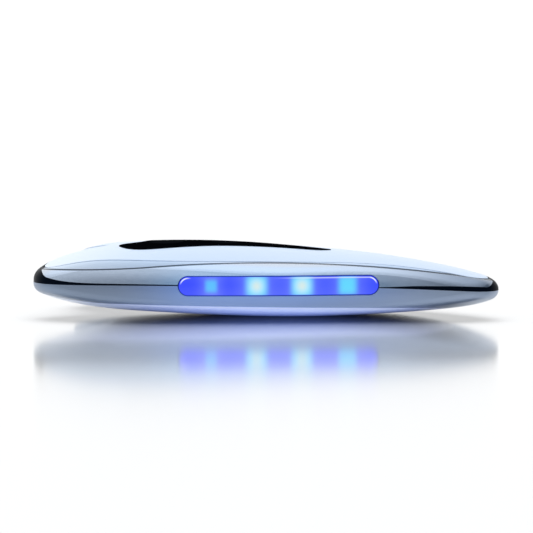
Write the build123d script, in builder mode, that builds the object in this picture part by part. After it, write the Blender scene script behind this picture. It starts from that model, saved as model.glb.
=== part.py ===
"""Electric gua sha: a flat, pebble shaped facial massager with a fishtail notch.

It lies on its belly. +X runs along its length to the pointed nose, +Y goes away from the
side with the lit window, +Z is up, and the origin is on the rest face, under the middle.
All sizes are in millimetres.
"""

import os
from math import cos, radians, sin, sqrt

from build123d import *

os.makedirs("parts", exist_ok=True)

# Overall form
length = 116.0
width = 58.0
thickness = 18.4
belly_cut = 0.35
belly_radius = 116.0
side_radius = 14.0
top_edge_radius = 3.2
belly_edge_radius = 2.6

# The widest line of the body lies in one plane, a little lower at the pointed nose
waist_height = 8.55
waist_tilt = 0.74

# The parting line is an arc seen from the side
parting_left = 9.35
parting_middle = 9.1
parting_right = 7.55

# Outline in plan, as shares of half the length and half the width, anticlockwise from the
# round nose, each with the margin in millimetres that the cover leaves to the edge there
outline = [
    (-1.000, -0.586, 2.5),
    (-0.941, -0.824, 2.0),
    (-0.724, -0.969, 2.2),
    (-0.345, -1.000, 2.6),
    (0.103, -0.972, 4.9),
    (0.517, -0.883, 2.8),
    (0.793, -0.928, 2.2),
    (0.948, -0.893, 2.2),
    (1.000, -0.707, 2.4),
    (0.931, -0.414, 2.4),
    (0.621, 0.259, 3.0),
    (0.207, 0.776, 3.5),
    (-0.276, 1.000, 3.5),
    (-0.690, 0.897, 3.0),
    (-0.845, 0.517, 2.5),
    (-0.759, 0.172, 2.3),
    (-0.698, -0.052, 2.3),
    (-0.793, -0.259, 2.3),
    (-0.940, -0.379, 2.4),
]

# Stations of the crown and the belly: the share of half the length, the crest's place
# across, its drop below the full thickness, the crown's radius, and the belly's rise
stations = [
    (-1.103, -6.0, 9.8, 100.0, 8.9),
    (-0.948, -6.0, 4.4, 100.0, 5.35),
    (-0.793, -6.0, 1.45, 100.0, 3.0),
    (-0.552, -5.0, 0.1, 85.0, 1.45),
    (-0.241, -4.0, 0.0, 75.0, 0.5),
    (0.103, -4.0, 1.1, 75.0, 0.0),
    (0.414, -8.0, 2.35, 65.0, 0.5),
    (0.690, -13.0, 4.35, 55.0, 1.5),
    (0.897, -17.0, 6.75, 50.0, 2.95),
    (1.103, -21.0, 12.4, 50.0, 6.85),
]

# Walls
wall = 2.0
cover_wall = 2.6

# Two shallow dishes follow the belly: the plate's inner face and the lower shell's floor
plate_top = 0.7
floor_low = 1.95
dish_middle = 6.0
dish_radius = 450.0

# Seams and fits
cover_groove = 0.35
window_gap = 0.12
inlay_gap = 0.08
inlay_proud = 0.12
slide_clearance = 0.1
running_clearance = 0.05

# Structural frame: a ring with a ledge that the cover and the trims stand on
ledge_rise = 2.1
frame_wall = 2.8
frame_skirt = 2.4
frame_skirt_end = 0.7
seal_inset = 1.0
seal_depth = 0.8
seal_height = 0.5

# The black lip over the parting line: share of half the length, and its height there
lip = [
    (-0.944, 1.73),
    (-0.893, 1.12),
    (-0.805, 0.65),
    (-0.633, 0.44),
    (-0.362, 0.26),
    (0.0, 0.22),
    (0.345, 0.24),
    (0.534, 0.37),
    (0.624, 0.74),
    (0.710, 0.95),
    (0.797, 1.14),
    (0.936, 1.15),
]

# Rounded ends of the silver trims, and the black strip between them at each nose
left_end = [(-55.9, 12.6), (-55.2, 14.6)]
right_end = [(56.3, 9.7), (54.6, 12.0)]
nose_strip_width = 5.0
left_strip = (-53.5, -16.5)
right_strip = (53.5, -19.5)

# Hollow of the cover in plan
cover_hollow = [
    (-36.0, -21.0),
    (6.0, -21.0),
    (22.0, -19.5),
    (40.0, -20.0),
    (44.0, -14.0),
    (30.0, 4.0),
    (8.0, 17.0),
    (-14.0, 22.5),
    (-32.0, 21.0),
    (-36.0, 10.0),
]
hollow_corner = 3.0

# Treatment plate in plan, and what warms it
plate_length = 97.0
plate_width = 60.0
plate_corner = 23.0
plate_middle = (-3.0, 0.0)
film_length = 50.0
film_width = 20.0
film_wall = 0.3
film_gap = 0.12
film_middle = (2.0, -1.0)
sensor_radius = 1.5
sensor_gap = 0.15
sensor_top = 2.3
sensor_place = (8.0, 2.0)

# Lit window, its light guide, four lights and their flexible strip
window_length = 49.9
window_height = 4.9
window_middle = 3.1
window_z = 9.3
guide_length = 47.0
guide_height = 2.2
guide_wall = 1.1
light_count = 4
light_spacing = 11.3
light_length = 3.5
light_height = 1.8
light_wall = 1.1
light_middle = 3.3
strip_height = 2.0
strip_wall = 0.4

# Inlay on the cover, in plan, and its two keys
inlay_wall = 1.2
inlay_outline = [
    (-36.5, -12.8),
    (-32.8, -17.0),
    (-25.0, -15.8),
    (-13.0, -11.9),
    (-1.0, -9.5),
    (9.0, -9.6),
    (15.2, -9.2),
    (16.2, -8.0),
    (14.2, -6.3),
    (7.0, -2.6),
    (-4.0, 1.6),
    (-14.0, 5.8),
    (-22.0, 7.2),
    (-28.2, 2.2),
    (-32.0, -6.0),
]
key_cap_wall = 0.7
key_travel = 0.4
stem_radius = 1.6
stem_hole_radius = 2.1
power_key_radius = 4.4
power_key_place = (-25.0, -5.5)
mode_key_radius = 3.4
mode_key_place = (-10.5, -3.8)

# Tray and boards
tray_height = 8.9
tray_wall = 0.8
standoff_height = 2.0
standoff_radius = 1.6
standoff_inset = 3.0
board_wall = 1.0
board_corner = 3.0
board_length = 54.0
board_width = 24.0
board_middle = (-7.0, -5.0)
switch_width = 5.2
switch_height = 1.8
plunger_radius = 0.8
plunger_rise = 0.5
plunger_bore = 1.5
chips = [
    (5.0, 5.0, 1.0, 2.0, -8.0),
    (4.0, 3.0, 0.9, 10.0, -12.0),
    (3.2, 2.6, 1.4, 11.0, -3.0),
    (6.0, 3.6, 1.2, -2.0, 2.0),
    (2.0, 1.2, 0.8, 6.0, -1.0),
]

# Power: the cell, its pad, and the charging inlet on the far side
cell_length = 28.0
cell_width = 18.0
cell_height = 4.4
cell_corner = 1.5
cell_middle = (-17.0, -4.0)
cell_base = 4.3
pad_inset = 2.0
port_place = -24.0
port_rise = 0.2
port_width = 8.94
port_height = 3.16
port_depth = 7.0
port_wall = 0.3
port_recess = 1.2
port_fit = 0.1
port_rim = 1.0
tongue_width = 6.6
tongue_wall = 0.7
tongue_depth = 4.6
charge_board_length = 14.0
charge_board_width = 12.0
post_radius = 1.4
post_inset = 2.0
charge_board_middle = 18.0
pin_radius = 0.75
pin_spacing = 8.0
pin_hole_radius = 1.1
pin_across = 14.0

# Vibration drive
motor_radius = 3.0
motor_length = 11.0
motor_start = 25.5
motor_across = -12.0
motor_height = 7.0
motor_neck_radius = 1.2
motor_neck = 0.6
shaft_radius = 0.5
weight_radius = 2.5
weight_length = 3.4
weight_gap = 0.5
bore_depth = 1.6
cradle_length = 8.0
cradle_width = 8.0
tray_opening_gap = 0.7

# Case screws
screw_places = [(-44.0, -18.0), (-38.5, 17.0), (14.0, -17.8), (18.0, 8.0)]
screw_radius = 1.0
screw_hole_radius = 1.15
screw_head_radius = 1.8
screw_head_height = 1.1
screw_bite = 2.4
boss_radius = 2.6
screw_tip = 0.2
socket_radius = 0.8
socket_depth = 0.6

half_length = length / 2
half_width = width / 2
far = 2 * length
side_rise = thickness - waist_height + 1.0


def parting(x):
    """Height of the parting line at x, seen from the side."""
    slope = (parting_right - parting_left) / length
    bow = (parting_left + parting_right) / 2 - parting_middle
    return parting_middle + slope * x + bow * (x / half_length) ** 2


def points_and_normals():
    """The outline's points, and the outward direction of the smooth curve at each."""
    points = [Vector(along * half_length, across * half_width) for along, across, _ in outline]
    curve = Edge.make_spline(points, periodic=True)
    tangents = [curve.tangent_at(curve.param_at_point(point)) for point in points]
    return points, [Vector(tangent.Y, -tangent.X) for tangent in tangents]


outline_points, outline_normals = points_and_normals()


def moved_outline(insets):
    """Points of the outline, each moved inwards by its own inset."""
    rows = zip(outline_points, outline_normals, insets)
    return [point - normal * inset for point, normal, inset in rows]


def side_walls(inset):
    """The bulging side of the body, moved inwards, as a tall plug."""
    rise = side_rise - inset
    waist = Plane(
        origin=(0, 0, waist_height),
        x_dir=(cos(radians(waist_tilt)), 0, -sin(radians(waist_tilt))),
        z_dir=(sin(radians(waist_tilt)), 0, cos(radians(waist_tilt))),
    )
    with BuildPart() as plug:
        for height in (-rise, 0, rise):
            draw = height**2 / (2 * side_radius)
            with BuildSketch(waist.offset(height)):
                with BuildLine():
                    Spline(moved_outline([inset + draw] * len(outline)), periodic=True)
                make_face()
        loft()
    return plug.part


def under_crown(inset):
    """Everything under the crowned top, moved inwards."""
    half_span = width * 0.7
    with BuildPart() as block:
        for along, crest, drop, radius, _ in stations:
            top = thickness - drop - inset
            edge = top - radius + sqrt(radius**2 - half_span**2)
            with BuildSketch(Plane.YZ.offset(along * half_length)):
                with BuildLine():
                    ThreePointArc((crest - half_span, edge), (crest, top), (crest + half_span, edge))
                    Polyline(
                        (crest + half_span, edge),
                        (crest + half_span, -far),
                        (crest - half_span, -far),
                        (crest - half_span, edge),
                    )
                make_face()
        loft()
    return block.part


def over_belly(inset):
    """Everything over the curved belly, moved inwards."""
    half_span = width * 0.8
    with BuildPart() as block:
        for along, _, _, _, rise in stations:
            bottom = rise - belly_cut + inset
            edge = bottom + belly_radius - sqrt(belly_radius**2 - half_span**2)
            with BuildSketch(Plane.YZ.offset(along * half_length)):
                with BuildLine():
                    ThreePointArc((-half_span, edge), (0, bottom), (half_span, edge))
                    Polyline((half_span, edge), (half_span, far), (-half_span, far), (-half_span, edge))
                make_face()
        loft()
    return block.part


def pebble(inset):
    """The whole body moved inwards by inset."""
    with BuildPart() as solid:
        add(side_walls(inset))
        add(under_crown(inset), mode=Mode.INTERSECT)
        add(over_belly(inset), mode=Mode.INTERSECT)
        fillet(solid.faces().sort_by(Axis.Z)[-1].edges(), top_edge_radius - inset)
        fillet(solid.faces().sort_by(Axis.Z)[0].edges(), belly_edge_radius - inset)
        add(slab(-far, far, -far, far, 0, far), mode=Mode.INTERSECT)
    return solid.part


def prism(points, bottom=-far, top=far):
    """A smooth closed outline in plan, standing from bottom to top."""
    with BuildPart() as solid:
        with BuildSketch(Plane.XY.offset(bottom)):
            with BuildLine():
                Spline(points, periodic=True)
            make_face()
        extrude(amount=top - bottom)
    return solid.part


def plug(inset):
    """The outline moved inwards, drawn as arcs and standing upright, for hidden walls."""
    curve = Edge.make_spline(outline_points, periodic=True)
    places = [curve.param_at_point(point) for point in outline_points]
    points = []
    for start, end in zip(places, places[1:] + places[:1]):
        end = end if end > start else end + 1
        for place in (start, (start + end) / 2):
            tangent = curve.tangent_at(place % 1)
            inward = Vector(-tangent.Y, tangent.X)
            points.append(curve.position_at(place % 1) + inward * inset)
    with BuildPart() as solid:
        with BuildSketch(Plane.XY.offset(-far)):
            with BuildLine():
                for index in range(0, len(points), 2):
                    ThreePointArc(points[index], points[index + 1], points[(index + 2) % len(points)])
            make_face()
        extrude(amount=2 * far)
    return solid.part


def over_dish(low):
    """Everything over a shallow dish whose lowest point is at height low."""
    half_span = width * 0.7
    with BuildPart() as block:
        for place in (-1.1 * half_length, dish_middle, 1.1 * half_length):
            bottom = low + (place - dish_middle) ** 2 / (2 * dish_radius)
            edge = bottom + belly_radius - sqrt(belly_radius**2 - half_span**2)
            with BuildSketch(Plane.YZ.offset(place)):
                with BuildLine():
                    ThreePointArc((-half_span, edge), (0, bottom), (half_span, edge))
                    Polyline((half_span, edge), (half_span, far), (-half_span, far), (-half_span, edge))
                make_face()
        loft()
    return block.part


def slab(x_low, x_high, y_low, y_high, z_low, z_high):
    """A square block between two corners."""
    with BuildPart() as solid:
        with BuildSketch(Plane.XY.offset(z_low)):
            with Locations(((x_low + x_high) / 2, (y_low + y_high) / 2)):
                Rectangle(x_high - x_low, y_high - y_low)
        extrude(amount=z_high - z_low)
    return solid.part


def under_parting(drop=0.0, end_drop=None):
    """Everything under a line that lies drop below the parting line, and end_drop at its ends."""
    end = half_length * 1.1
    low = drop if end_drop is None else end_drop
    left, middle, right = parting(-end) - low, parting(0) - drop, parting(end) - low
    with BuildPart() as solid:
        with BuildSketch(Plane.XZ.offset(-far)):
            with BuildLine():
                ThreePointArc((-end, left), (0, middle), (end, right))
                Polyline(
                    (end, right), (far, right), (far, -far), (-far, -far), (-far, left), (-end, left)
                )
            make_face()
        extrude(amount=2 * far)
    return solid.part


def side_slot(slot_length, slot_height, start, end, middle_x, middle_z):
    """A round ended bar seen from the side, from start to end across the body."""
    with BuildPart() as solid:
        with BuildSketch(Plane.XZ.offset(-start)):
            with Locations((middle_x, middle_z)):
                SlotOverall(slot_length, slot_height)
        extrude(amount=start - end)
    return solid.part


def upright(radius, place, bottom, top):
    """A round bar standing at a place in plan."""
    with BuildPart() as solid:
        with BuildSketch(Plane.XY.offset(bottom)):
            with Locations(place):
                Circle(radius)
        extrude(amount=top - bottom)
    return solid.part


def box_at(size_x, size_y, middle, bottom, top, corner=0.0):
    """An upright block around a place in plan, with rounded corners if asked."""
    with BuildPart() as solid:
        with BuildSketch(Plane.XY.offset(bottom)):
            with Locations(middle):
                if corner:
                    RectangleRounded(size_x, size_y, corner)
                else:
                    Rectangle(size_x, size_y)
        extrude(amount=top - bottom)
    return solid.part


def lengthwise(radius, start, end, across, height):
    """A round bar along X."""
    with BuildPart() as solid:
        with BuildSketch(Plane.YZ.offset(start)):
            with Locations((across, height)):
                Circle(radius)
        extrude(amount=end - start)
    return solid.part


def ring_between(outer, inner):
    """The space between two upright outlines."""
    with BuildPart() as solid:
        add(plug(outer))
        add(plug(inner), mode=Mode.SUBTRACT)
    return solid.part


def leaf():
    """The silver leaf seen from the side: all over the black lip, between its rounded ends."""
    lower = [(along * half_length, parting(along * half_length) + rise) for along, rise in lip]
    with BuildPart() as solid:
        with BuildSketch(Plane.XZ.offset(-far)):
            with BuildLine():
                Spline(lower)
                ThreePointArc(lower[0], *left_end)
                ThreePointArc(lower[-1], *right_end)
                Polyline(left_end[-1], (left_end[-1][0], far), (right_end[-1][0], far), right_end[-1])
            make_face()
        extrude(amount=2 * far)
    return solid.part


def finish(piece, name):
    """Label a finished piece and write it."""
    piece.part.label = name
    export_step(piece.part, f"parts/{name}.step")


# Bodies that the pieces are cut from
margins = [margin for _, _, margin in outline]
body = pebble(0.0)
proud_body = pebble(-inlay_proud)
below_parting = under_parting()
below_ledge = under_parting(-ledge_rise)
cover_zone = prism(moved_outline(margins))
wall_plug = plug(wall)
frame_plug = plug(wall + frame_wall)
leaf_zone = leaf()
plate_space = box_at(plate_length, plate_width, plate_middle, -far, thickness, plate_corner)
port_z = parting(port_place) + port_rise
port_front = half_width - port_recess
charge_board_top = port_z - port_height / 2
charge_board_base = charge_board_top - board_wall
tray_top = tray_height + tray_wall
board_base = tray_top + standoff_height
board_top = board_base + board_wall
switch_top = board_top + switch_height
key_rest = switch_top + plunger_rise
keys = [(power_key_radius, power_key_place), (mode_key_radius, mode_key_place)]
plate_inside = over_dish(plate_top)
film_inside = over_dish(plate_top + film_wall)
under_cap = under_crown(inlay_wall)
floor_space = over_dish(floor_low)


def near_slot(slot_length, slot_height):
    """A round ended bar through the near side, at the lit window."""
    return side_slot(slot_length, slot_height, -far, -half_width / 2, window_middle, window_z)


def far_slot(slot_length, slot_height, start=half_width / 2, end=far):
    """A round ended bar through the far side, at the charging inlet."""
    return side_slot(slot_length, slot_height, start, end, port_place, port_z)


with BuildPart() as window_pocket:
    add(near_slot(window_length + 2 * window_gap, window_height + 2 * window_gap))
    add(wall_plug, mode=Mode.SUBTRACT)

with BuildPart() as bezel_pocket:
    add(far_slot(port_width + 2 * port_rim, port_height + 2 * port_rim))
    add(wall_plug, mode=Mode.SUBTRACT)

half_strip = nose_strip_width / 2
nose_strips = []
for (start, middle), end in ((left_strip, -far), (right_strip, far)):
    low, high = sorted((start, end))
    nose_strips.append(slab(low, high, middle - half_strip, middle + half_strip, 0, thickness))

with BuildPart() as plate_room:
    add(plate_space)
    add(plate_inside, mode=Mode.SUBTRACT)

with BuildPart() as side_hollow:
    add(wall_plug)
    add(below_ledge, mode=Mode.INTERSECT)

with BuildPart() as side_ring:
    add(body)
    add(below_parting, mode=Mode.SUBTRACT)
    add(cover_zone, mode=Mode.SUBTRACT)
    add(side_hollow.part, mode=Mode.SUBTRACT)
    add(window_pocket.part, mode=Mode.SUBTRACT)
    add(bezel_pocket.part, mode=Mode.SUBTRACT)

# Cover: the pearl white top, hollow under its middle, with a pocket for the inlay
inlay_points = [Vector(*point) for point in inlay_outline]
inlay_curve = Edge.make_spline(inlay_points, periodic=True)
pocket_points = []
for point in inlay_points:
    tangent = inlay_curve.tangent_at(inlay_curve.param_at_point(point))
    pocket_points.append(point + Vector(tangent.Y, -tangent.X) * inlay_gap)

with BuildPart() as cover_inside:
    with BuildSketch() as hollow_plan:
        with BuildLine():
            Polyline(cover_hollow, close=True)
        make_face()
        fillet(hollow_plan.vertices(), hollow_corner)
    extrude(amount=thickness)
    add(under_crown(cover_wall), mode=Mode.INTERSECT)

with BuildPart() as inlay_pocket:
    add(prism(pocket_points, bottom=waist_height))
    add(under_cap, mode=Mode.SUBTRACT)

with BuildPart() as top_cover:
    add(body)
    add(prism(moved_outline([margin + cover_groove for margin in margins])), mode=Mode.INTERSECT)
    add(below_ledge, mode=Mode.SUBTRACT)
    add(cover_inside.part, mode=Mode.SUBTRACT)
    add(inlay_pocket.part, mode=Mode.SUBTRACT)
    for place in (power_key_place, mode_key_place):
        add(upright(stem_hole_radius, place, waist_height, far), mode=Mode.SUBTRACT)
finish(top_cover, "top_cover")

# Silver trims: the two leaves that are left between the nose caps
with BuildPart() as leaves:
    add(side_ring.part)
    add(leaf_zone, mode=Mode.INTERSECT)
    for strip in nose_strips:
        add(strip, mode=Mode.SUBTRACT)

with BuildPart() as front_trim:
    add(leaves.solids().sort_by(Axis.Y)[0])
finish(front_trim, "front_trim")

with BuildPart() as rear_trim:
    add(leaves.solids().sort_by(Axis.Y)[-1])
finish(rear_trim, "rear_trim")

# Frame: the black ring with its lip, nose caps and the bezel of the charging inlet
cap_strips = []
for strip in nose_strips:
    with BuildPart() as cap_strip:
        add(side_ring.part)
        add(strip, mode=Mode.INTERSECT)
    cap_strips.append(cap_strip.part)

with BuildPart() as lip_and_caps:
    add(side_ring.part)
    add(leaf_zone, mode=Mode.SUBTRACT)
    add(cap_strips)

with BuildPart() as bezel:
    add(body)
    add(bezel_pocket.part, mode=Mode.INTERSECT)

below_skirt = under_parting(frame_skirt, frame_skirt_end)
below_seal = under_parting(frame_skirt - seal_height, frame_skirt_end - seal_height)
with BuildPart() as shell_seal:
    add(ring_between(wall + seal_inset, wall + seal_inset + seal_depth))
    add(below_seal, mode=Mode.INTERSECT)
    add(below_skirt, mode=Mode.SUBTRACT)
finish(shell_seal, "shell_seal")

with BuildPart() as mid_frame:
    add(wall_plug)
    add(frame_plug, mode=Mode.SUBTRACT)
    add(below_ledge, mode=Mode.INTERSECT)
    add(below_skirt, mode=Mode.SUBTRACT)
    add(shell_seal.part, mode=Mode.SUBTRACT)
    add([lip_and_caps.part, bezel.part])
    add(near_slot(guide_length + 2 * window_gap, guide_height + 2 * window_gap), mode=Mode.SUBTRACT)
    add(far_slot(port_width + 2 * port_fit, port_height + 2 * port_fit), mode=Mode.SUBTRACT)
finish(mid_frame, "mid_frame")

# Lower shell: walls down to the treatment plate, a dished floor, bosses and posts
post_offset = charge_board_length / 2 - post_inset
post_places = [
    (port_place + side * post_offset, charge_board_middle + charge_board_width / 2 - post_inset)
    for side in (-1, 1)
]
pin_places = [(port_place + side * pin_spacing / 2, pin_across) for side in (-1, 1)]

with BuildPart() as film_recess:
    add(box_at(film_length + 2 * film_gap, film_width + 2 * film_gap, film_middle, 0, thickness))
    add(film_inside, mode=Mode.SUBTRACT)

with BuildPart() as frame_room:
    add(wall_plug)
    add(below_skirt, mode=Mode.SUBTRACT)

with BuildPart() as shell_room:
    add(frame_plug)
    add(floor_space, mode=Mode.INTERSECT)
    add(frame_room.part)
    for place in screw_places:
        add(upright(boss_radius, place, 0, tray_height), mode=Mode.SUBTRACT)
    for place in post_places:
        add(upright(post_radius, place, 0, charge_board_base), mode=Mode.SUBTRACT)

bore_bottom = tray_height - screw_bite - screw_tip
with BuildPart() as lower_shell:
    add(body)
    add(below_parting, mode=Mode.INTERSECT)
    add([plate_room.part, shell_room.part, film_recess.part], mode=Mode.SUBTRACT)
    add([window_pocket.part, bezel_pocket.part], mode=Mode.SUBTRACT)
    add(upright(sensor_radius + sensor_gap, sensor_place, 0, thickness), mode=Mode.SUBTRACT)
    for place in pin_places:
        add(upright(pin_hole_radius, place, 0, thickness), mode=Mode.SUBTRACT)
    for place in screw_places:
        add(upright(screw_radius, place, bore_bottom, thickness), mode=Mode.SUBTRACT)
finish(lower_shell, "lower_shell")

# Treatment plate, its heater film, temperature sensor and contact pins
with BuildPart() as treatment_plate:
    add(body)
    add(plate_room.part, mode=Mode.INTERSECT)
finish(treatment_plate, "treatment_plate")

with BuildPart() as heater_film:
    add(box_at(film_length, film_width, film_middle, 0, thickness))
    add(plate_inside, mode=Mode.INTERSECT)
    add(film_inside, mode=Mode.SUBTRACT)
finish(heater_film, "heater_film")

with BuildPart() as temperature_sensor:
    add(upright(sensor_radius, sensor_place, 0, sensor_top))
    add(film_inside, mode=Mode.INTERSECT)
finish(temperature_sensor, "temperature_sensor")

with BuildPart() as plate_contacts:
    for place in pin_places:
        add(upright(pin_radius, place, 0, charge_board_base))
    add(plate_inside, mode=Mode.INTERSECT)
finish(plate_contacts, "plate_contacts")

# Lit window, light guide, lights and their strip, one behind the other
with BuildPart() as led_window:
    add(proud_body)
    add(near_slot(window_length, window_height), mode=Mode.INTERSECT)
    add(wall_plug, mode=Mode.SUBTRACT)
finish(led_window, "led_window")

with BuildPart() as light_guide:
    add(ring_between(wall, wall + guide_wall))
    add(near_slot(guide_length, guide_height), mode=Mode.INTERSECT)
finish(light_guide, "light_guide")

light_ring = ring_between(wall + guide_wall, wall + guide_wall + light_wall)
for index in range(light_count):
    light_x = light_middle + (index - (light_count - 1) / 2) * light_spacing
    with BuildPart() as light:
        add(light_ring)
        with BuildSketch(Plane.XZ):
            with Locations((light_x, window_z)):
                Rectangle(light_length, light_height)
        extrude(amount=far, mode=Mode.INTERSECT)
    finish(light, f"led_{index + 1}")

strip_start = wall + guide_wall + light_wall
with BuildPart() as led_flex:
    add(ring_between(strip_start, strip_start + strip_wall))
    add(near_slot(guide_length, strip_height), mode=Mode.INTERSECT)
finish(led_flex, "led_flex")

# Black inlay with two keys that slide down, each on its own switch plunger
with BuildPart() as control_panel:
    add(proud_body)
    add(prism(inlay_points), mode=Mode.INTERSECT)
    add(under_cap, mode=Mode.SUBTRACT)
    for radius, place in keys:
        add(upright(radius + slide_clearance, place, waist_height, far), mode=Mode.SUBTRACT)
finish(control_panel, "control_panel")

under_key = under_crown(key_cap_wall - inlay_proud)
for (radius, place), name in zip(keys, ("power", "mode")):
    with BuildPart() as around_stem:
        add(under_key)
        add(upright(stem_radius, place, -far, far), mode=Mode.SUBTRACT)

    with BuildPart() as key:
        add(proud_body)
        add(upright(radius, place, key_rest, far), mode=Mode.INTERSECT)
        add(around_stem.part, mode=Mode.SUBTRACT)
    finish(key, f"{name}_button")

    with BuildPart() as plunger:
        add(upright(plunger_radius, place, key_rest - plunger_bore, key_rest))
    finish(plunger, f"{name}_plunger")

    with BuildPart() as switch:
        add(box_at(switch_width, switch_width, place, board_top, switch_top))
        bore = plunger_radius + running_clearance
        add(upright(bore, place, switch_top - plunger_bore, switch_top), mode=Mode.SUBTRACT)
    finish(switch, f"{name}_switch")

# Tray, main board and its parts
tray_span_x = (motor_start - motor_neck - weight_gap - weight_length, motor_start + motor_length)
with BuildPart() as chassis:
    add(frame_plug)
    add(slab(-far, far, -far, far, tray_height, tray_top), mode=Mode.INTERSECT)
    for side_x in (-1, 1):
        for side_y in (-1, 1):
            corner = (
                board_middle[0] + side_x * (board_length / 2 - standoff_inset),
                board_middle[1] + side_y * (board_width / 2 - standoff_inset),
            )
            add(upright(standoff_radius, corner, tray_height, board_base))
    add(
        slab(
            tray_span_x[0] - tray_opening_gap,
            tray_span_x[1] + tray_opening_gap,
            motor_across - motor_radius - tray_opening_gap,
            motor_across + motor_radius + tray_opening_gap,
            0,
            thickness,
        ),
        mode=Mode.SUBTRACT,
    )
    add(
        box_at(port_width + 2 * port_rim, 2 * port_depth, (port_place, port_front), 0, thickness),
        mode=Mode.SUBTRACT,
    )
    for place in screw_places:
        add(upright(screw_hole_radius, place, 0, thickness), mode=Mode.SUBTRACT)
finish(chassis, "chassis")

with BuildPart() as main_board:
    add(box_at(board_length, board_width, board_middle, board_base, board_top, board_corner))
finish(main_board, "main_board")

with BuildPart() as board_chips:
    for chip_length, chip_width, chip_height, chip_x, chip_y in chips:
        add(box_at(chip_length, chip_width, (chip_x, chip_y), board_top, board_top + chip_height))
finish(board_chips, "board_chips")

# Cell on its pad
with BuildPart() as battery:
    add(box_at(cell_length, cell_width, cell_middle, cell_base, cell_base + cell_height, cell_corner))
finish(battery, "battery")

with BuildPart() as battery_pad:
    add(box_at(cell_length - pad_inset, cell_width - pad_inset, cell_middle, 0, cell_base))
    add(floor_space, mode=Mode.INTERSECT)
finish(battery_pad, "battery_pad")

# Charging inlet, its tongue and its board
with BuildPart() as charge_port:
    add(far_slot(port_width, port_height, port_front - port_depth, port_front))
    add(
        far_slot(
            port_width - 2 * port_wall,
            port_height - 2 * port_wall,
            port_front - port_depth + port_wall,
            port_front,
        ),
        mode=Mode.SUBTRACT,
    )
finish(charge_port, "charge_port")

tongue_start = port_front - port_depth + port_wall
with BuildPart() as port_tongue:
    with BuildSketch(Plane.XZ.offset(-tongue_start)):
        with Locations((port_place, port_z)):
            Rectangle(tongue_width, tongue_wall)
    extrude(amount=-tongue_depth)
finish(port_tongue, "port_tongue")

charge_middle = (port_place, charge_board_middle)
with BuildPart() as charge_board:
    add(
        box_at(
            charge_board_length, charge_board_width, charge_middle, charge_board_base, charge_board_top
        )
    )
finish(charge_board, "charge_board")

# Vibration drive: motor, rubber cradle, shaft and the weight beside it
motor_end = motor_start + motor_length
neck_start = motor_start - motor_neck
weight_end = neck_start - weight_gap
weight_start = weight_end - weight_length
with BuildPart() as vibration_motor:
    add(lengthwise(motor_radius, motor_start, motor_end, motor_across, motor_height))
    add(lengthwise(motor_neck_radius, neck_start, motor_start, motor_across, motor_height))
    bore = shaft_radius + running_clearance
    bore_end = motor_start + bore_depth
    add(lengthwise(bore, neck_start, bore_end, motor_across, motor_height), mode=Mode.SUBTRACT)
finish(vibration_motor, "vibration_motor")

cradle_middle = (motor_start + motor_length / 2, motor_across)
with BuildPart() as motor_cradle:
    add(box_at(cradle_length, cradle_width, cradle_middle, 0, motor_height))
    add(floor_space, mode=Mode.INTERSECT)
    add(
        lengthwise(motor_radius, weight_start, motor_end, motor_across, motor_height),
        mode=Mode.SUBTRACT,
    )
finish(motor_cradle, "motor_cradle")

shaft_end = bore_end - running_clearance
with BuildPart() as motor_shaft:
    add(lengthwise(shaft_radius, weight_start, shaft_end, motor_across, motor_height))
finish(motor_shaft, "motor_shaft")

with BuildPart() as eccentric_weight:
    with BuildSketch(Plane.YZ.offset(weight_start)):
        with Locations((motor_across, motor_height)):
            Circle(weight_radius)
            with Locations((0, weight_radius / 2 + shaft_radius)):
                Rectangle(2 * weight_radius, weight_radius, mode=Mode.SUBTRACT)
            Circle(2 * shaft_radius)
            Circle(shaft_radius, mode=Mode.SUBTRACT)
    extrude(amount=weight_length)
finish(eccentric_weight, "eccentric_weight")

# Case screws: one shape, four places
with BuildPart() as case_screws:
    for place in screw_places:
        head_top = tray_top + screw_head_height
        add(upright(screw_radius, place, tray_height - screw_bite, tray_top))
        add(upright(screw_head_radius, place, tray_top, head_top))
        with BuildSketch(Plane.XY.offset(head_top - socket_depth)):
            with Locations(place):
                RegularPolygon(socket_radius, 6)
        extrude(amount=socket_depth, mode=Mode.SUBTRACT)
finish(case_screws, "case_screws")
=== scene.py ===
"""Electric gua sha, dressed for the photograph: a pearl white and silver pebble with a lit blue window."""

from math import cos, e, pi, radians, sin, tan

import bpy
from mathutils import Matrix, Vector


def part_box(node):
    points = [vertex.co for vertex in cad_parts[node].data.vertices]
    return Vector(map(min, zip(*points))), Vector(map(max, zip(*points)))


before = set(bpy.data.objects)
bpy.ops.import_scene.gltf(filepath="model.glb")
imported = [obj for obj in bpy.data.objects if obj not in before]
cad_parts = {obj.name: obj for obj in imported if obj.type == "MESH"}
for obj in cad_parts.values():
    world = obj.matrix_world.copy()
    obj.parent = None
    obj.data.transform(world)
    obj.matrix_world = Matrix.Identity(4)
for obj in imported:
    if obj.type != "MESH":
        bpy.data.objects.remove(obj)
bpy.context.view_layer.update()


# Camera
# A long lens from low down on the side with the window. The photograph's frame is as wide
# as 133.9 mm of the object.
mm = 0.001
view_height = radians(4.85)
view_width = 133.9 * mm
view_distance = 2.4
view_centre = Vector((0.1 * mm, 0.0, 11.75 * mm))
sensor = 36.0
bpy.ops.object.select_all(action="DESELECT")
bpy.ops.object.camera_add(
    location=view_centre + view_distance * Vector((0, -cos(view_height), sin(view_height))),
    rotation=(pi / 2 - view_height, 0, 0),
)
camera = bpy.context.object
camera.name = "camera"
camera.data.sensor_width = sensor
camera.data.lens = sensor * view_distance / view_width
camera.data.clip_start = 0.01
camera.data.clip_end = 50
bpy.context.scene.camera = camera
bpy.context.scene.view_settings.view_transform = "Standard"


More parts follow.
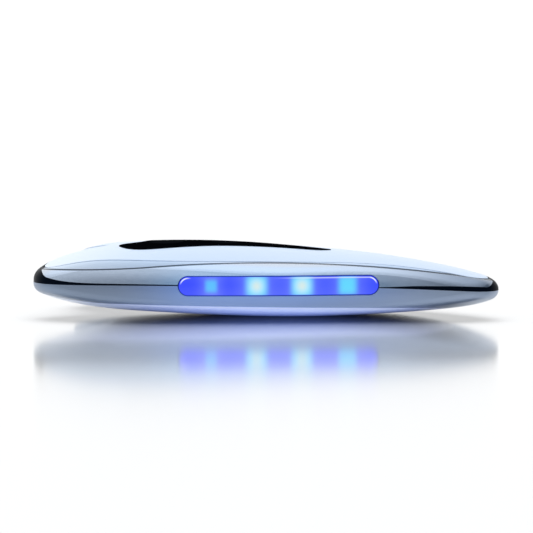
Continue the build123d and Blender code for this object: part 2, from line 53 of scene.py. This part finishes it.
# Pearl cover
# The moulded top cover, in white resin with a little blue pearl pigment under a clear
# lacquer. It snaps down on the ledge of the frame, with a fine groove all round.
class Wire:
    """One output of a node. Sums and products of wires become Math nodes."""

    def __init__(self, nodes, socket):
        self.nodes = nodes
        self.socket = socket

    def output(self, name):
        """Another output of the same node."""
        return Wire(self.nodes, self.socket.node.outputs[name])

    def maths(self, operation, *values):
        return self.nodes.node("ShaderNodeMath", {"operation": operation}, values)

    def __add__(self, other):
        return self.maths("ADD", self, other)

    def __radd__(self, other):
        return self.maths("ADD", other, self)

    def __sub__(self, other):
        return self.maths("SUBTRACT", self, other)

    def __rsub__(self, other):
        return self.maths("SUBTRACT", other, self)

    def __mul__(self, other):
        return self.maths("MULTIPLY", self, other)

    def __rmul__(self, other):
        return self.maths("MULTIPLY", other, self)

    def __truediv__(self, other):
        return self.maths("DIVIDE", self, other)

    def __rtruediv__(self, other):
        return self.maths("DIVIDE", other, self)

    def __pow__(self, other):
        return self.maths("POWER", self, other)

    def __rpow__(self, other):
        return self.maths("POWER", other, self)

    def __abs__(self):
        return self.maths("ABSOLUTE", self)

    def at_least(self, other):
        return self.maths("MAXIMUM", self, other)

    def fading(self):
        """Falls from 1 towards 0 as the wire grows from 0."""
        return e ** (0.0 - self)

    def step(self, start, end, curve="SMOOTHSTEP"):
        """Goes from 0 to 1 between two values, smoothly or in a straight line."""
        values = {"Value": self, "From Min": start, "From Max": end}
        return self.nodes.node("ShaderNodeMapRange", {"interpolation_type": curve}, values)


class Nodes:
    """The nodes of a material or of the world, ending in one shader."""

    def __init__(self, owner, shader):
        owner.use_nodes = True
        self.tree = owner.node_tree
        self.shader = self.tree.nodes[shader]

    def node(self, kind, settings, values):
        """Adds a node, sets it, links or sets its inputs, and gives its first output."""
        made = self.tree.nodes.new(kind)
        for key, value in settings.items():
            setattr(made, key, value)
        for key, value in values.items() if isinstance(values, dict) else enumerate(values):
            self.feed(made.inputs[key], value)
        return Wire(self, next(output for output in made.outputs if output.enabled))

    def feed(self, socket, value):
        """Links a wire to an input, or writes a plain value in it."""
        if isinstance(value, Wire):
            self.tree.links.new(value.socket, socket)
        elif socket.type == "RGBA":
            socket.default_value = (*value, 1.0)
        else:
            socket.default_value = value

    def coat(self, **surface):
        """Sets the shader's inputs, written as words_with_underscores."""
        for key, value in surface.items():
            self.feed(self.shader.inputs[key.replace("_", " ").title().replace("Ior", "IOR")], value)

    def mix(self, share, first, second):
        """One colour going over to another. A Mix node has its two colours at inputs 6 and 7."""
        values = {0: share, 6: first, 7: second}
        return self.node("ShaderNodeMix", {"data_type": "RGBA"}, values)


class Finish(Nodes):
    """A material for pieces of the object."""

    def __init__(self, name, **surface):
        self.material = bpy.data.materials.new(name)
        super().__init__(self.material, "Principled BSDF")
        self.coat(**surface)

    def place(self):
        """The place on the object, in millimetres, as a vector wire."""
        where = self.node("ShaderNodeTexCoord", {}, {}).output("Object")
        return self.node("ShaderNodeVectorMath", {"operation": "SCALE"}, {"Vector": where, "Scale": 1 / mm})

    def along(self, axis):
        """The place along X, Y or Z, in millimetres."""
        return self.node("ShaderNodeSeparateXYZ", {}, [self.place()]).output(axis)

    def grain(self, size, detail=2.0, stretch=(1.0, 1.0, 1.0)):
        """Noise from 0 to 1 whose lumps are about size millimetres."""
        place = self.node("ShaderNodeVectorMath", {"operation": "MULTIPLY"}, [self.place(), stretch])
        values = {"Vector": place, "Scale": 1 / size, "Detail": detail}
        return self.node("ShaderNodeTexNoise", {}, values)

    def bump(self, height, depth):
        """A fine relief of the given depth in millimetres."""
        values = {"Strength": 1.0, "Distance": depth * mm, "Height": height}
        return self.node("ShaderNodeBump", {}, values)

    def give(self, *names):
        """Puts the finish on CAD nodes."""
        for name in names:
            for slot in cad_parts[name].material_slots:
                slot.material = self.material


def seen(red, green, blue):
    """A colour as it looks on a screen, from 0 to 255, as the shader's linear colour."""
    shares = [value / 255 for value in (red, green, blue)]
    return tuple(
        share / 12.92 if share <= 0.04045 else ((share + 0.055) / 1.055) ** 2.4 for share in shares
    )


left_nose, cover_shoulder = -58.0, -24.0


def pearl_and_painted_light(finish):
    """The cover's colour, with a fine blue pigment in it, and painted light that makes it lighter towards
    the left nose.
    """
    # Painted light: the resin is painted lighter towards the left nose.
    resin = finish.mix(
        finish.along("X").step(left_nose, cover_shoulder), seen(240, 248, 255), seen(211, 229, 251)
    )
    return finish.mix(finish.grain(0.12, detail=3.0) * 0.4, resin, seen(186, 210, 243))


pearl = Finish("pearl_white", roughness=0.32, coat_weight=0.25, coat_roughness=0.1)
pearl.coat(base_color=pearl_and_painted_light(pearl), normal=pearl.bump(pearl.grain(0.4), 0.002))
pearl.give("top_cover")


# Inlay and keys
# The comma shaped inlay, in deep black resin with a dead flat surface, is glued in its
# pocket. Its two round keys slide in it and have a fine texture, so that a finger finds them.
inlay = Finish("deep_black", roughness=0.7, specular_ior_level=0.0)
inlay.coat(
    base_color=inlay.mix(inlay.grain(0.5), seen(2, 2, 4), seen(6, 7, 10)),
    normal=inlay.bump(inlay.grain(0.3), 0.001),
)
inlay.give("control_panel")
keys = Finish("key_black", roughness=0.7, specular_ior_level=0.0)
keys.coat(
    base_color=keys.mix(keys.grain(0.4), seen(9, 10, 13), seen(16, 17, 21)),
    normal=keys.bump(keys.grain(0.25), 0.004),
)
keys.give("power_button", "mode_button")


# Frame
# The structural ring, in polished black polycarbonate. It shows as the thin dark line
# between the trims and the lower shell, and as a cap on each nose. The ledge in the groove
# beside the cover is painted in the cover's colour.
ledge_height, ledge_slope, ledge_fall, ledge_end = 10.9, 0.0155, 0.000193, 52.0
black = Finish("gloss_black", roughness=0.3, specular_ior_level=0.02)
black_x = black.along("X")
over_ledge = black.along("Z") - (ledge_height - black_x * ledge_slope - black_x * black_x * ledge_fall)
on_ledge = over_ledge.step(-0.05, 0.05) * (ledge_end - abs(black_x)).step(-0.5, 0.5)
resin = black.mix(black.grain(0.5), seen(3, 9, 20), seen(5, 13, 27))
black.coat(
    base_color=black.mix(on_ledge, resin, seen(200, 216, 240)), normal=black.bump(black.grain(0.8), 0.001)
)
black.give("mid_frame")


# Silver trims
# The two leaf shaped side trims, moulded and plated in a satin silver, that stand on the
# frame's ledge. Above a fine dark line, painted shade of a groove with a shallow relief, they
# are painted like the cover. Painted shade darkens the plating towards the right nose, and the
# trim beside the window takes on its blue light.
def drawn_height(finish):
    """The height at which the camera sees a place of the near side, and its mirror image behind."""
    return finish.along("Z") - abs(finish.along("Y")) * tan(view_height)


window_low, window_high = (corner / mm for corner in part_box("led_window"))
window_middle = (window_low + window_high) / 2
window_half = (window_high - window_low) / 2
depth_weight = 1.6
unlit = (0.0, 0.0, 0.0)


def halo(finish, colour, reach):
    """Light from the window that spreads along the metal beside it, over reach millimetres."""
    beyond = (abs(finish.along("X") - window_middle.x) - (window_half.x - reach)).at_least(0.0)
    rise = finish.along("Z") - window_middle.z
    depth = (finish.along("Y") - window_low.y) * depth_weight
    distance = (beyond / (2 * reach)) ** 2.0 + (rise / reach) ** 2.0 + (depth / reach) ** 2.0
    return finish.mix(distance.fading(), unlit, colour)


line_top, line_fall = 12.64, 0.00135
line_lift_start, line_lift = -28.0, 0.0035
line_half_width, line_blur_end = 0.08, 0.24
darker_from, darkest_at = 22.0, 54.0
silver = Finish("satin_silver", emission_strength=1.0)
silver_x = silver.along("X")
line = line_top - silver_x * silver_x * line_fall
line = line + (line_lift_start - silver_x).at_least(0.0) ** 2.0 * line_lift
over_line = drawn_height(silver) - line
painted = over_line.step(-0.02, 0.02)
# Painted shade: a fine dark line, with a shallow relief, stands for the shade in a groove between cover and
# trim.
painted_groove_shade = 1.0 - abs(over_line).step(line_half_width, line_blur_end)
# Painted shade: the plating is darker towards the right nose.
plating_with_painted_shade = silver.mix(silver_x.step(darker_from, darkest_at), seen(214, 224, 238), seen(140, 151, 168))
plating_with_painted_shade = silver.mix(silver.grain(0.2) * 0.3, plating_with_painted_shade, seen(190, 201, 218))
silver.coat(
    emission_color=silver.mix(painted, halo(silver, colour=(0.03, 0.13, 0.28), reach=6.0), unlit),
    base_color=silver.mix(painted_groove_shade, silver.mix(painted, plating_with_painted_shade, pearl_and_painted_light(silver)), seen(62, 72, 88)),
    metallic=1.0 - painted.at_least(painted_groove_shade),
    roughness=silver.grain(0.6) * 0.03 + 0.2,
    normal=silver.bump(silver.grain(0.5) * 0.002 - painted_groove_shade, 0.1),
)
silver.give("front_trim", "rear_trim")


# Lower shell and treatment plate
# The bottom half of the case, moulded and lacquered in a silver grey, and the thin steel
# plate that is glued in it and touches the skin. The polish of the plate runs on over the
# belly of the shell, up to a line that rises to both noses.
polish_height = 1.4
polish_rise_start, polish_rise = 25.0, 0.00026
polish_nose_start, polish_nose_rise = -38.0, 0.0058


def silvered(name, piece, polish):
    """Gives a piece the lacquer of the shell above the line, with painted light that makes it lighter
    towards the right, and a polish of some tone below it.
    """
    made = Finish(name, emission_strength=1.0)
    along = made.along("X")
    line = (polish_rise_start - along).at_least(0.0) ** 2.0 * polish_rise + polish_height
    line = line + (polish_nose_start - along).at_least(0.0) ** 2.0 * polish_nose_rise
    lacquer = (drawn_height(made) - line).step(-0.05, 0.05)
    # Painted light: the lacquer is painted lighter towards the right nose.
    lacquer_with_painted_light = made.mix(along.step(-60.0, 60.0), seen(146, 158, 176), seen(168, 180, 199))
    lacquer_with_painted_light = made.mix(made.grain(0.15) * 0.3, lacquer_with_painted_light, seen(128, 141, 160))
    polished = made.mix(made.grain(0.3), polish, seen(240, 245, 252))
    brushed = made.grain(0.8, stretch=(0.2, 1.0, 1.0)) * 0.06
    side_light = halo(made, colour=(0.06, 0.10, 0.34), reach=20.0)
    belly_light = halo(made, colour=(0.02, 0.09, 0.34), reach=7.0)
    made.coat(
        emission_color=made.mix(lacquer, side_light, belly_light),
        base_color=made.mix(lacquer, polished, lacquer_with_painted_light),
        metallic=lacquer * 0.7 + 0.1,
        roughness=lacquer * 0.05 + brushed + 0.3,
        normal=made.bump(made.grain(0.5), 0.0003),
    )
    made.give(piece)


silvered("shell_silver", "lower_shell", seen(226, 231, 240))
silvered("polished_plate", "treatment_plate", seen(248, 251, 255))


# Lit window
# A clear blue lens pressed into the side. Four lights behind it show as soft squares, its edge
# is dark, and a painted highlight lies inside the edge at the upper corners and along the top.
window = Finish("lit_window", roughness=0.1, base_color=seen(16, 34, 130), emission_strength=1.0)
window_x = window.along("X")
window_z = window.along("Z")
corner = window_half.z
past_middle = abs(window_x - window_middle.x) - (window_half.x - corner)
over_middle = window_z - window_middle.z
past_rim = (past_middle.at_least(0.0) ** 2.0 + over_middle * over_middle) ** 0.5 - corner
glow = seen(58, 74, 252)
# Each light's node, half the width of its square in millimetres, its colour and its strength
lights = [
    ("led_1", 1.5, seen(92, 196, 255), 0.9),
    ("led_2", 2.6, seen(112, 226, 254), 1.0),
    ("led_3", 2.6, seen(116, 228, 254), 1.0),
    ("led_4", 2.3, seen(100, 214, 254), 1.0),
]
bright_lights = ("led_2", "led_3")
for name, size, colour, strength in lights:
    low, high = (box_corner / mm for box_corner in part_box(name))
    aside = abs(window_x - (low.x + high.x) / 2) / size
    above = abs(window_z - (low.z + high.z) / 2) / (size * 1.05)
    haze = ((aside * 0.55) ** 2.0).fading()
    square = (aside**4.0 + above**4.0).fading()
    glow = window.mix(haze * 0.6, glow, seen(120, 142, 254))
    glow = window.mix(square * strength, glow, colour)
    if name in bright_lights:
        core = ((aside**2.0 + above**2.0) * 2.4).fading()
        glow = window.mix(core, glow, seen(214, 234, 214))
# Painted highlight: white bands inside the edge, at the upper corners and along part of the top.
painted_highlight_band = past_rim.step(-0.75, -0.55) - past_rim.step(-0.45, -0.3)
dark_edge = past_rim.step(-0.28, -0.12)
lit_corner = past_middle.step(-1.0, 1.0) * over_middle.step(0.2, 1.4)
lit_top = over_middle.step(corner - 0.8, corner - 0.6) * window_x.step(1.0, 12.0) * 0.55
glow = window.mix(painted_highlight_band * lit_corner.at_least(lit_top), glow, seen(236, 240, 255))
glow = window.mix(dark_edge, glow, seen(16, 34, 120))
window.coat(emission_color=glow)
window.give("led_window")


# Light guide and lights
# A milky acrylic bar spreads the light of four small white packages, which are soldered
# to a flexible strip behind it.
def plain(name, tone, roughness, metallic, *pieces):
    """A plain finish for a piece inside the case, a little uneven in tone and in gloss."""
    made = Finish(name, metallic=metallic)
    darker = [0.9 * part for part in tone]
    made.coat(
        base_color=made.mix(made.grain(0.5), seen(*tone), seen(*darker)),
        roughness=made.grain(0.3) * 0.1 + (roughness - 0.05),
    )
    made.give(*pieces)


plain("milky_guide", (225, 232, 240), 0.5, 0.0, "light_guide")
plain("light_resin", (235, 245, 250), 0.2, 0.0, "led_1", "led_2", "led_3", "led_4")


# Flexible circuits
# Two thin amber films: the strip of the lights, and the heater that is glued inside the
# treatment plate.
plain("amber_film", (190, 120, 50), 0.35, 0.0, "led_flex", "heater_film")


# Tray
# A dark moulded tray on the bosses of the lower shell. It carries the main board, and the
# tongue of the inlet and the plungers of the switches are moulded in the same resin.
plain("dark_moulding", (40, 41, 44), 0.5, 0.0, "chassis", "port_tongue", "power_plunger", "mode_plunger")


# Boards
# The main board and the small board of the inlet, in green laminate, with black packages
# and the bead of the temperature sensor. Gilded pins feed the treatment plate.
plain("green_board", (24, 96, 52), 0.35, 0.0, "main_board", "charge_board")
plain("dark_epoxy", (30, 30, 33), 0.5, 0.0, "board_chips", "temperature_sensor")
plain("gold_pins", (225, 185, 105), 0.25, 1.0, "plate_contacts")


# Cell
# A pouch cell in silver foil under the tray, on a pad of black foam that lies in the lower
# shell.
plain("pouch_foil", (200, 202, 206), 0.3, 1.0, "battery")
plain("black_foam", (28, 28, 30), 0.9, 0.0, "battery_pad")


# Vibration drive
# A small can motor in a rubber cradle, with a half round sintered weight on its shaft,
# and the steel of the inlet, the switches and the case screws.
plain("black_rubber", (24, 24, 26), 0.7, 0.0, "motor_cradle", "shell_seal")
steel_pieces = [
    "vibration_motor", "motor_shaft", "charge_port", "power_switch", "mode_switch", "case_screws",
]
plain("bright_steel", (190, 192, 196), 0.25, 1.0, *steel_pieces)
plain("sintered_weight", (110, 110, 116), 0.4, 1.0, "eccentric_weight")


# Floor
# A white glossy sheet, a hair below the plate, that mirrors the object softly. To the camera it
# carries a painted shadow close under the object, and in the object's reflections it stays white.
floor_size = 12.0
floor_gap = 0.02 * mm
shade_reach = 30 * mm
shade_tone = seen(20, 36, 58)
white = (1.0, 1.0, 1.0)
bpy.ops.object.select_all(action="DESELECT")
bpy.ops.mesh.primitive_plane_add(size=floor_size, location=(0, 0, -floor_gap))
floor = bpy.context.object
floor.name = "floor"
paper = Finish("white_floor", metallic=0.58, roughness=0.11)
surroundings = paper.node("ShaderNodeAmbientOcclusion", {"samples": 16}, {"Distance": shade_reach})
to_camera = paper.node("ShaderNodeLightPath", {}, {}).output("Is Camera Ray")
# Painted shadow: to the camera the floor darkens where the object stands close over it.
lit = surroundings.output("AO").step(0.3, 0.9).at_least(1.0 - to_camera)
paper.coat(base_color=paper.mix(lit, shade_tone, white))
floor.data.materials.append(paper.material)


# Studio
# White behind the object and to the camera. The rest is white overhead, grey low down and
# darker to the right, so that the silver goes from light at its top to dark at the waist.
low_grey = (0.13, 0.16, 0.20)
high_white = (0.97, 1.03, 1.10)
darker_right, darker_sides = 0.38, 0.08
world = bpy.data.worlds.new("studio")
bpy.context.scene.world = world
studio = Nodes(world, "Background")
direction = studio.node("ShaderNodeTexCoord", {}, {}).output("Generated")
parts = studio.node("ShaderNodeSeparateXYZ", {}, [direction])
across, depth, height = (parts.output(axis) for axis in "XYZ")
level = height - across * darker_right - abs(across) * darker_sides
shade = studio.mix(level.step(0.05, 0.8, "LINEAR"), low_grey, high_white)
behind = depth.step(0.15, 0.6, "LINEAR")
to_camera = studio.node("ShaderNodeLightPath", {}, {}).output("Is Camera Ray")
studio.coat(color=studio.mix(behind.at_least(to_camera), shade, white))


# Lamp
# One soft box above and behind, so that the shadow falls to the front. The metal mirrors
# only the studio and the floor.
lamp_place = Vector((-0.2, 0.9, 1.5))
bpy.ops.object.light_add(type="AREA", location=lamp_place)
lamp = bpy.context.object
lamp.name = "overhead"
lamp.data.size = 1.0
lamp.data.energy = 10.0
lamp.data.color = (0.95, 0.98, 1.0)
lamp.visible_glossy = False
lamp.rotation_euler = (-lamp_place).to_track_quat("-Z", "Y").to_euler()
